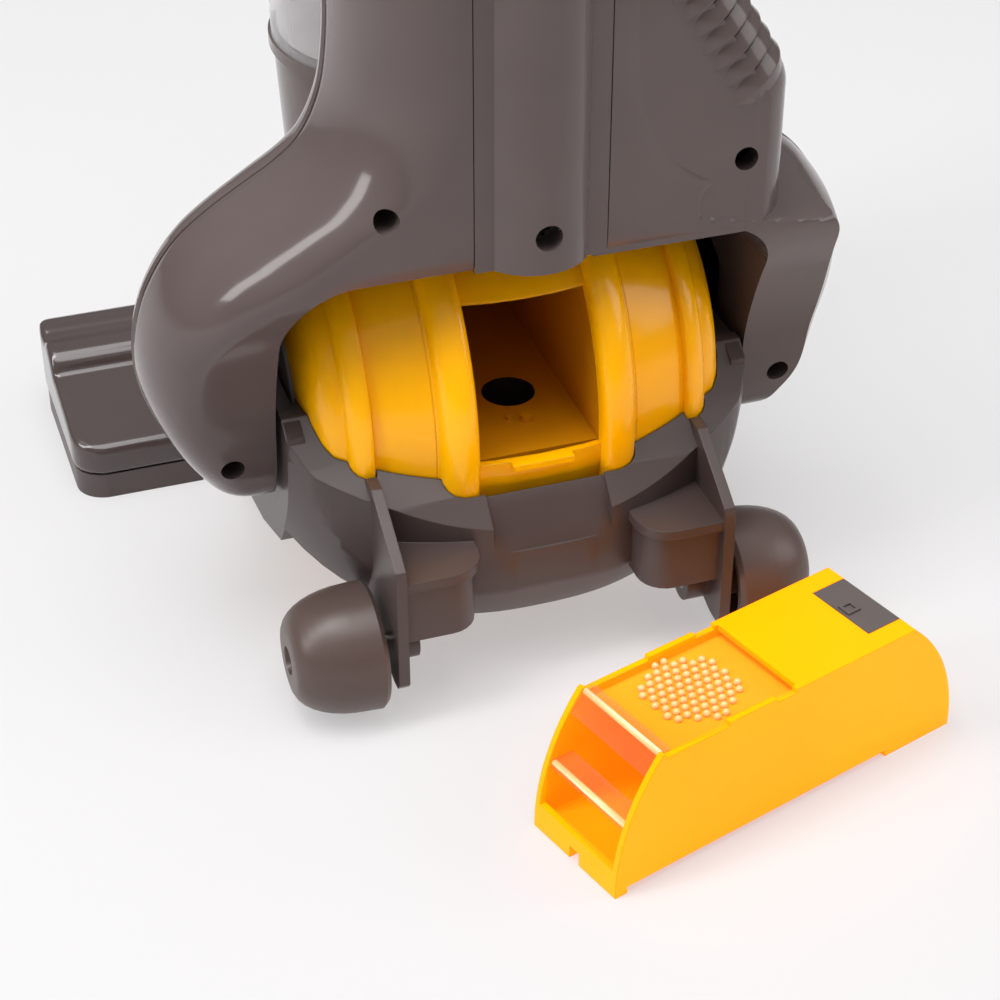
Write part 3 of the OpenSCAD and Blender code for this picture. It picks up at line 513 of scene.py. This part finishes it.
# Moulded hose. A stub that rises from the arm and leans in towards the spine, with close ribs,
# on a flat shelf of the same grey plastic. It only imitates a hose.
HOSE_FOOT = (-60.0, 47.0, 58.0)
HOSE_BEND_Z = 97.0
HOSE_LEAN = math.radians(32)
HOSE_LEN = 92.0
HOSE_R = 12.5
HOSE_RIBS = 15
HOSE_WELL = (-58.0, 53.0, 80.0)
HOSE_CREASE = 40
BEND_STEPS = 8
SHELF_FRONT = 25.0
SHELF_BACK = 59.4
SHELF_FOOT_X = -15.0
SHELF_TIP_X = -8.0
SHELF_MARGIN = 4.0
RIB_STEPS = [(0.0, 1.1), (0.1, 1.1), (0.55, 0.5), (0.8, -0.1), (0.86, -1.6), (0.98, -1.6)]


def hose_ring(centre, radius, out):
    """A round ring of the hose, spanned by the direction out and the depth of the body."""
    turns = [math.radians(7.5*k) for k in range(48)]
    back = Vector((0, 1, 0))
    return [tuple(centre + radius*(math.cos(a)*out + math.sin(a)*back)) for a in turns]


foot = Vector(HOSE_FOOT)
bend = Vector((HOSE_FOOT[0], HOSE_FOOT[1], HOSE_BEND_Z))
lean = Vector((math.sin(HOSE_LEAN), 0, math.cos(HOSE_LEAN)))
across = Vector((math.cos(HOSE_LEAN), 0, -math.sin(HOSE_LEAN)))
rings = [hose_ring(foot, HOSE_R, Vector((1, 0, 0)))]
for k in range(BEND_STEPS + 1):
    tilt = HOSE_LEAN*k/BEND_STEPS
    rings.append(hose_ring(bend, HOSE_R, Vector((math.cos(tilt), 0, -math.sin(tilt)))))
for rib in range(HOSE_RIBS):
    for part, swell in RIB_STEPS:
        centre = bend + lean*HOSE_LEN*(rib + part + 0.5)/(HOSE_RIBS + 0.5)
        rings.append(hose_ring(centre, HOSE_R + swell, across))
hose = loft("ribbed_hose_skin", rings)
tip = bend + lean*HOSE_LEN
outer_edge = [(spot.x - SHELF_MARGIN, spot.z) for spot in (foot, bend, tip)]
shelf_outline = [(SHELF_FOOT_X, foot.z)] + outer_edge + [(SHELF_TIP_X, tip.z)]
shelf = prism("shelf", shelf_outline, SHELF_FRONT, SHELF_BACK)
carve(hose, [well(HOSE_WELL)])
carve(shelf, [well(HOSE_WELL)])
join(hose, [shelf])
finish_skin(hose, "ribbed_hose", shell_plastic, HOSE_CREASE)


# Shell screws. Dark self-tapping screws with crossed recesses, at the bottom of round wells
# in the rear shell, the hose and the spine cover.
SCREW_SEATS = [(82.5, 21.8, 63.1), (-82.5, 21.8, 63.1), (42.0, 30.0, 145.0), (-58.0, 53.0, 147.0),
               (0.0, 59.0, 136.6)]
SCREW_SIZES = {"Head Radius": 3.1*MM, "Head Depth": 1.8*MM, "Recess Width": 0.8*MM}
SCREW_TONES = ("#332e2c", "#2a2625")
RECESS_SPAN = 1.25*SCREW_SIZES["Head Radius"]


def grow(name, tree, points, sizes):
    """A plain mesh made by a Geometry Nodes tree on points given in metres."""
    mesh = bpy.data.meshes.new(name + "_points")
    mesh.from_pydata([tuple(p) for p in points], [], [])
    host = bpy.data.objects.new(name + "_host", mesh)
    bpy.context.scene.collection.objects.link(host)
    growth = host.modifiers.new("growth", "NODES")
    growth.node_group = tree
    for socket in tree.interface.items_tree:
        if socket.name in sizes:
            growth[socket.identifier] = sizes[socket.name]
    graph = bpy.context.evaluated_depsgraph_get()
    made = bpy.data.meshes.new_from_object(host.evaluated_get(graph))
    made.name = name
    bpy.data.objects.remove(host)
    piece = bpy.data.objects.new(name, made)
    bpy.context.scene.collection.objects.link(piece)
    return piece


def open_tree(name, sizes):
    """An empty Geometry Nodes tree with points going in, named sizes and a mesh coming out."""
    tree = bpy.data.node_groups.new(name, "GeometryNodeTree")
    tree.interface.new_socket("Geometry", in_out="INPUT", socket_type="NodeSocketGeometry")
    tree.interface.new_socket("Geometry", in_out="OUTPUT", socket_type="NodeSocketGeometry")
    for size in sizes:
        tree.interface.new_socket(size, in_out="INPUT", socket_type="NodeSocketFloat")
    return tree, add_node(tree, "NodeGroupInput").outputs


def close_tree(tree, points, shape, turn, material):
    """Sets the shape on every point, makes it real and gives it its material."""
    spread = add_node(tree, "GeometryNodeInstanceOnPoints", {"Points": points, "Instance": shape,
                      "Rotation": turn})
    real = add_node(tree, "GeometryNodeRealizeInstances", {"Geometry": spread.outputs["Instances"]})
    painted = add_node(tree, "GeometryNodeSetMaterial", {"Geometry": real.outputs["Geometry"],
                       "Material": material})
    add_node(tree, "NodeGroupOutput", {"Geometry": painted.outputs["Geometry"]})


# Blackened steel: a faint glint in the dark of the wells.
screw_steel = moulded("screw_steel", SCREW_TONES, 0.35, metal=0.6)
screw_tree, screw_in = open_tree("crossed_screw", SCREW_SIZES)
half_depth = add_node(screw_tree, "ShaderNodeMath", {0: screw_in["Head Depth"], 1: 0.5},
                      operation="MULTIPLY")
lift = add_node(screw_tree, "ShaderNodeCombineXYZ", {"Z": half_depth.outputs[0]})
head = add_node(screw_tree, "GeometryNodeMeshCylinder", {"Vertices": 32,
                "Radius": screw_in["Head Radius"], "Depth": screw_in["Head Depth"]})
raised = add_node(screw_tree, "GeometryNodeTransform", {"Geometry": head.outputs["Mesh"],
                  "Translation": lift.outputs["Vector"]})
arms = add_node(screw_tree, "GeometryNodeJoinGeometry")
for long_way, short_way in (("X", "Y"), ("Y", "X")):
    arm_size = add_node(screw_tree, "ShaderNodeCombineXYZ", {long_way: RECESS_SPAN,
                        short_way: screw_in["Recess Width"], "Z": screw_in["Head Depth"]})
    arm = add_node(screw_tree, "GeometryNodeMeshCube", {"Size": arm_size.outputs["Vector"]})
    top = add_node(screw_tree, "ShaderNodeCombineXYZ", {"Z": screw_in["Head Depth"]})
    moved = add_node(screw_tree, "GeometryNodeTransform", {"Geometry": arm.outputs["Mesh"],
                     "Translation": top.outputs["Vector"]})
    screw_tree.links.new(moved.outputs["Geometry"], arms.inputs["Geometry"])
cut = add_node(screw_tree, "GeometryNodeMeshBoolean", {"Mesh 1": raised.outputs["Geometry"],
               "Mesh 2": arms.outputs["Geometry"]}, operation="DIFFERENCE")
close_tree(screw_tree, screw_in["Geometry"], cut.outputs["Mesh"], (-math.pi/2, 0, 0), screw_steel)
screws = grow("screw_heads", screw_tree, [Vector(p)*MM for p in SCREW_SEATS], SCREW_SIZES)
seat(screws, "shell_screws")
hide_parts("shell_screws")


# Dust bin. A clear cylinder at the front of the body, on a tapered grey base, with an amber
# separator cone inside it and a domed grey lid.
BIN_TONES = ("#f4f4f5", "#ecebed")
CORE_TONES = ("#d2861c", "#c27a16")
RIM_POWER = 4.0
RIM_SHEEN = 0.6


def see_through(name, tones, haze):
    """Clear plastic in a thin wall: light goes straight through, under a haze and a sheen at the rims."""
    material = moulded(name, tones, 0.08, grain=0.0)
    tree = material.node_tree
    body = next(made for made in tree.nodes if made.type == "BSDF_PRINCIPLED")
    output = next(made for made in tree.nodes if made.type == "OUTPUT_MATERIAL")
    tint = body.inputs["Base Color"].links[0].from_socket
    through = add_node(tree, "ShaderNodeBsdfTransparent", {"Color": tint})
    facing = add_node(tree, "ShaderNodeLayerWeight", {"Blend": 0.5})
    steep = add_node(tree, "ShaderNodeMath", {0: facing.outputs["Facing"], 1: RIM_POWER},
                     operation="POWER")
    sheen = add_node(tree, "ShaderNodeMath", {0: steep.outputs[0], 1: RIM_SHEEN, 2: haze},
                     operation="MULTIPLY_ADD")
    mixed = add_node(tree, "ShaderNodeMixShader", {0: sheen.outputs[0], 1: through.outputs[0],
                     2: body.outputs[0]})
    tree.links.new(mixed.outputs[0], output.inputs["Surface"])
    return material


# Clear polystyrene with a faint haze, round a cone of glossy amber ABS.
bin_plastic = see_through("bin_plastic", BIN_TONES, 0.22)
core_plastic = moulded("core_plastic", CORE_TONES, 0.25, coat=0.3)
dress("dust_bin", bin_plastic)
dress("bin_base", shell_plastic)
dress("cyclone_core", core_plastic)
dress("bin_lid", shell_plastic)


# Handle. A silvery tube pushed into the top of the body through a dark cuff, with a loop grip
# on its upper end, and a red rocker switch in the spine below it.
CUFF_TONES = ("#584d4b", "#4e4442")
ROCKER_TONES = ("#cc332b", "#bd2a24")

# A silvery lacquer on the tube, satin ABS on the cuff, and a gloss on the switch.
post_plastic = moulded("post_plastic", CAP_TONES, 0.26, metal=0.3, grain=0.02)
cuff_plastic = moulded("cuff_plastic", CUFF_TONES, 0.35)
rocker_plastic = moulded("rocker_plastic", ROCKER_TONES, 0.22, coat=0.3)
dress("handle_post", post_plastic)
dress("grip_cuff", cuff_plastic)
dress("handle_grip", shell_plastic)
dress("power_rocker", rocker_plastic)


# Floor head. A dark glossy cover with two long rounded ridges over a flat sole, which holds the
# suction slot and, behind a snap-in door, two cells.
HEAD_TONES = ("#413634", "#372d2c")
SOLE_TONES = ("#4d4241", "#443a39")
CELL_TONES = ("#8b8f94", "#7c8086")

# Gloss ABS with sharp reflections along the ridges, a satin sole, and cells in plain metal foil.
head_plastic = moulded("head_plastic", HEAD_TONES, 0.18, coat=0.5, grain=0.015)
sole_plastic = moulded("sole_plastic", SOLE_TONES, 0.4)
cell_wrap = moulded("cell_wrap", CELL_TONES, 0.3, metal=0.7)
dress("head_cover", head_plastic, soften=14)
dress("head_sole", sole_plastic)
dress("battery_door", sole_plastic)
dress("battery_cells", cell_wrap)


# Drawer tray. A yellow box with curved ends that fills the drum's slot, orange inside.
# It is moulded with thin walls, and all its faces carry a painted glow that stands in for light coming
# through them.
TRAY_TONES = ("#ff9c02", "#fb9600")
LINING_TONES = ("#ff9810", "#fb9008")
DRAWER_AT = Vector((22.3, 152.8, 0))*MM
DRAWER_TURN = math.radians(197.4)
DRAWER_PLACE = Matrix.Translation(DRAWER_AT) @ Matrix.Rotation(DRAWER_TURN, 4, "Z")
ARC_CENTRE = (65*MM, 1.5*MM)
CLEAR_END_R = 65*MM
INNER_END_R = 54*MM
TRAY_HALF = 17.4*MM
TRAY_WALL = 1.8*MM
TRAY_H = 41.5*MM

# Bright polystyrene: an even colour with few highlights. Its emission is a painted glow that flattens its
# shading, and the inside is given a little less of it.
tray_with_painted_glow = moulded("tray_with_painted_glow", TRAY_TONES, 0.3, shine=0.1, grain=0.02, glow=0.55, edge=0.7*MM)
lining_with_painted_glow = moulded("lining_with_painted_glow", LINING_TONES, 0.35, shine=0.1, grain=0.02, glow=0.4)
tray = dress("drawer_tray", tray_with_painted_glow)
tray.data.materials.append(lining_with_painted_glow)
to_drawer = DRAWER_PLACE.inverted()
for face in tray.data.polygons:
    along, across, up = to_drawer @ face.center
    end_r = CLEAR_END_R if along < ARC_CENTRE[0] else INNER_END_R
    reach = math.hypot(along - ARC_CENTRE[0], up - ARC_CENTRE[1])
    within = abs(across) < TRAY_HALF - TRAY_WALL/2 and reach < end_r - TRAY_WALL/2
    if within and TRAY_WALL < up < TRAY_H - TRAY_WALL/2:
        face.material_index = 1


# Clear bars. A pale see-through strip across the top of the drawer's open end
# and a small shelf below it, bonded between the side walls.
BAR_TONES = ("#fff5ea", "#ffefdd")
EDGE_HIGHLIGHT_TONES = ("#ffe0b8", "#ffd6a6")
EDGE_LINES = [(14.7, 40.5), (4.9, 21.0)]
EDGE_HALF = 15.4
EDGE_R = 0.9

bar_plastic = see_through("bar_plastic", BAR_TONES, 0.02)
dress("drawer_front", bar_plastic)
# Painted highlights: thin pale rods, with a faint painted glow, along the bar edges where clear
# polystyrene catches the light.
edge_highlight_paint = moulded("edge_highlight_paint", EDGE_HIGHLIGHT_TONES, 0.12, coat=0.3, grain=0.0, glow=0.15)
for along, up in EDGE_LINES:
    ends = []
    for across in (-EDGE_HALF, EDGE_HALF):
        spot = DRAWER_PLACE @ (Vector((along, across, up))*MM)
        ends.append(spot/MM - Vector((0, 0, AXIS_Z)))
    edge = rod("bar_edge_highlight", EDGE_R, ends[0], ends[1], 16)
    edge.data.shade_smooth()
    edge.data.materials.append(edge_highlight_paint)
    seat(edge, "drawer_front")


# Filter plate. A sunk orange plate in the drawer's top, with close rows of pale domed studs
# that let the air through and hold the dust back.
DECK_TONES = ("#f49a20", "#ee9018")
STUD_PAINTED_LIGHT_TONES = ("#f8c486", "#f4ba76")
DECK_BOX = ((17.8, -15.6, 35.9), (62.2, 15.6, 37.8))
STUD_CENTRE = (39.0, 2.0)
STUD_FIELD_R = 13.4
STUD_PITCH = 2.95
STUD_ROWS = 5
STUD_COLUMNS = 6
STUD_Z = DECK_BOX[1][2] + 0.5
STUD_SIZES = {"Stud Radius": 1.1*MM}

# Satin polystyrene with a faint painted glow. The studs are painted paler, standing in for light coming
# through them.
deck_with_painted_glow = moulded("deck_with_painted_glow", DECK_TONES, 0.35, shine=0.25, grain=0.02, glow=0.2)
stud_painted_light = moulded("stud_painted_light", STUD_PAINTED_LIGHT_TONES, 0.25, grain=0.0)
deck_mesh = bpy.data.meshes.new("filter_deck")
work = bmesh.new()
bmesh.ops.create_cube(work, size=1.0)
deck_low, deck_high = (Vector(corner)*MM for corner in DECK_BOX)
for corner in work.verts:
    spot = Vector([low + (high - low)*(c + 0.5) for low, high, c in zip(deck_low, deck_high, corner.co)])
    corner.co = DRAWER_PLACE @ spot
work.to_mesh(deck_mesh)
work.free()
deck_mesh.materials.append(deck_with_painted_glow)
deck = bpy.data.objects.new("filter_deck", deck_mesh)
bpy.context.scene.collection.objects.link(deck)
seat(deck, "filter_plate")
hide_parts("filter_plate")
stud_spots = []
for row in range(-STUD_ROWS, STUD_ROWS + 1):
    for column in range(-STUD_COLUMNS, STUD_COLUMNS + 1):
        along = (column + abs(row) % 2/2)*STUD_PITCH
        across = row*STUD_PITCH*math.sqrt(3)/2
        if math.hypot(along, across) < STUD_FIELD_R:
            spot = Vector((STUD_CENTRE[0] + along, STUD_CENTRE[1] + across, STUD_Z))*MM
            stud_spots.append(DRAWER_PLACE @ spot)
stud_tree, stud_in = open_tree("domed_stud", STUD_SIZES)
dome = add_node(stud_tree, "GeometryNodeMeshUVSphere", {"Segments": 10, "Rings": 6,
                "Radius": stud_in["Stud Radius"]})
rounder = add_node(stud_tree, "GeometryNodeSetShadeSmooth", {"Geometry": dome.outputs["Mesh"]})
close_tree(stud_tree, stud_in["Geometry"], rounder.outputs["Geometry"], (0, 0, 0), stud_painted_light)
studs = grow("filter_studs", stud_tree, stud_spots, STUD_SIZES)
seat(studs, "filter_plate")


# Inlet cover. A thin dark plate bent over the drawer's inner end, with a small square clip,
# where the drawer meets the suction inlet.
COVER_TONES = ("#5d5553", "#534b49")

# Satin ABS, like the shells but duller.
cover_plastic = moulded("cover_plastic", COVER_TONES, 0.34, grain=0.04)
dress("inlet_cover", cover_plastic)


# Studio. A plain pale floor that keeps soft shadows, a pale surround that is brighter above, one
# large softbox overhead, a tall strip on the left for the long highlight, and a fill on the right.
FLOOR_HALF = 4.0
FLOOR_COLOUR = "#f2f1f2"
FLOOR_GLOW = 0.65
FLOOR_WHITE = 0.77
SURROUND_COLOUR = "#f5f4f5"
SURROUND_LIGHT = (0.1, 0.75)
BACKDROP_WHITE = 0.75
AIM = Vector((0, 20, 150))*MM
SOFTBOXES = [("overhead", (0.1, 0.25, 1.7), (1.2, 1.2), 19.0),
             ("left_streak", (0.85, 0.15, 1.15), (0.3, 1.7), 15.0),
             ("right_fill", (-1.3, 0.55, 0.8), (0.9, 0.9), 6.0)]
CAMERA_PLACE = Vector((188.0, 584.5, 439.3))*MM
CAMERA_BACK = Vector((0.2612, 0.7765, 0.5735))
LENS = 86.4
SENSOR = 36.0

floor_mesh = bpy.data.meshes.new("floor")
floor_corners = [(x*FLOOR_HALF, y*FLOOR_HALF, 0) for x, y in ((-1, -1), (1, -1), (1, 1), (-1, 1))]
floor_mesh.from_pydata(floor_corners, [], [(0, 1, 2, 3)])
floor = bpy.data.objects.new("floor", floor_mesh)
bpy.context.scene.collection.objects.link(floor)
floor_paint = bpy.data.materials.new("floor_paint")
floor_paint.use_nodes = True
floor_tree = floor_paint.node_tree
floor_tree.nodes.clear()
rays = add_node(floor_tree, "ShaderNodeLightPath").outputs
seen = add_node(floor_tree, "ShaderNodeMath", {0: rays["Is Camera Ray"], 1: rays["Is Glossy Ray"]},
                operation="MAXIMUM")
shown = add_node(floor_tree, "ShaderNodeMath", {0: seen.outputs[0], 1: rays["Is Transmission Ray"]},
                 operation="MAXIMUM")
share = add_node(floor_tree, "ShaderNodeMath", {0: shown.outputs[0], 1: FLOOR_GLOW}, operation="MULTIPLY")
matt = add_node(floor_tree, "ShaderNodeBsdfDiffuse", {"Color": srgb(FLOOR_COLOUR)})
white = add_node(floor_tree, "ShaderNodeEmission", {"Color": srgb(FLOOR_COLOUR),
                 "Strength": FLOOR_WHITE})
mixed = add_node(floor_tree, "ShaderNodeMixShader", {0: share.outputs[0], 1: matt.outputs[0],
                 2: white.outputs[0]})
add_node(floor_tree, "ShaderNodeOutputMaterial", {"Surface": mixed.outputs[0]})
floor_mesh.materials.append(floor_paint)

world = bpy.data.worlds.new("surround")
world.use_nodes = True
sky = world.node_tree
sky.nodes.clear()
heading = add_node(sky, "ShaderNodeTexCoord").outputs["Generated"]
height = add_node(sky, "ShaderNodeSeparateXYZ", {"Vector": heading}).outputs["Z"]
climb = add_node(sky, "ShaderNodeMapRange", {"Value": height, "To Min": SURROUND_LIGHT[0],
                 "To Max": SURROUND_LIGHT[1]})
sky_rays = add_node(sky, "ShaderNodeLightPath").outputs
seen_sky = add_node(sky, "ShaderNodeMath", {0: sky_rays["Is Camera Ray"], 1: BACKDROP_WHITE},
                    operation="MULTIPLY")
level = add_node(sky, "ShaderNodeMath", {0: climb.outputs["Result"], 1: seen_sky.outputs[0]},
                 operation="MAXIMUM")
air = add_node(sky, "ShaderNodeBackground", {"Color": srgb(SURROUND_COLOUR),
               "Strength": level.outputs[0]})
add_node(sky, "ShaderNodeOutputWorld", {"Surface": air.outputs["Background"]})
bpy.context.scene.world = world
for name, place, size, power in SOFTBOXES:
    lamp = bpy.data.lights.new(name, "AREA")
    lamp.shape = "RECTANGLE"
    lamp.size, lamp.size_y = size
    lamp.energy = power
    softbox = bpy.data.objects.new(name, lamp)
    softbox.location = place
    softbox.rotation_euler = (Vector(place) - AIM).to_track_quat("Z", "Y").to_euler()
    bpy.context.scene.collection.objects.link(softbox)
camera_data = bpy.data.cameras.new("camera")
camera_data.lens = LENS
camera_data.sensor_width = SENSOR
camera = bpy.data.objects.new("camera", camera_data)
camera.location = CAMERA_PLACE
camera.rotation_euler = CAMERA_BACK.to_track_quat("Z", "Y").to_euler()
bpy.context.scene.collection.objects.link(camera)
bpy.context.scene.camera = camera
bpy.context.scene.view_settings.view_transform = "Standard"
